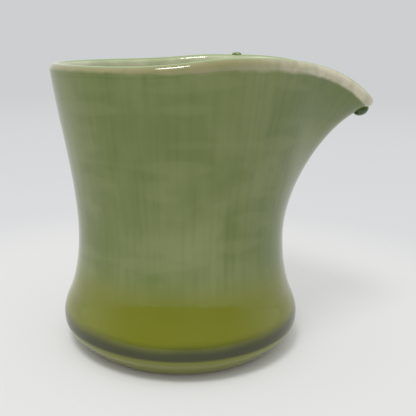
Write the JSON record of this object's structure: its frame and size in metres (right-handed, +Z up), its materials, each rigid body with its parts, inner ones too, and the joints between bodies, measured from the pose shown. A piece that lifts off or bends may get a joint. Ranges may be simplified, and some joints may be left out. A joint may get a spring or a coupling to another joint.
{
  "type": "ceramic pitcher",
  "caption": "Small hand-thrown ceramic pitcher without a handle: waisted body on a bulged foot, flared mouth, drooping pulled spout, glossy green glaze.",
  "frame": {"origin": "middle of the flat base that the pitcher stands on, on the axis it was thrown about", "axes": "+Z up the thrown axis; +X towards the pouring spout; +Y to the left of someone who pours towards +X"},
  "size_m": [0.1163, 0.0936, 0.1072],
  "materials": {
    "fired_clay": "bare buff stoneware, matt",
    "green_glaze": "glossy translucent copper-green glaze",
    "liner_glaze": "glossy green glaze, thinner on the inside",
    "breaking_glaze": "glossy glaze broken to a cream and yellow-green band",
    "pooled_glaze": "thick, dark, glassy green glaze",
    "bead_glaze": "glassy green glaze"
  },
  "bodies": {
    "root": {"clay_body": "fired_clay", "outer_glaze": "green_glaze", "inner_glaze": "liner_glaze", "lip_glaze": "breaking_glaze", "spout_glaze_drip": "pooled_glaze", "rim_glaze_bead": "bead_glaze"}
  },
  "joints": []
}
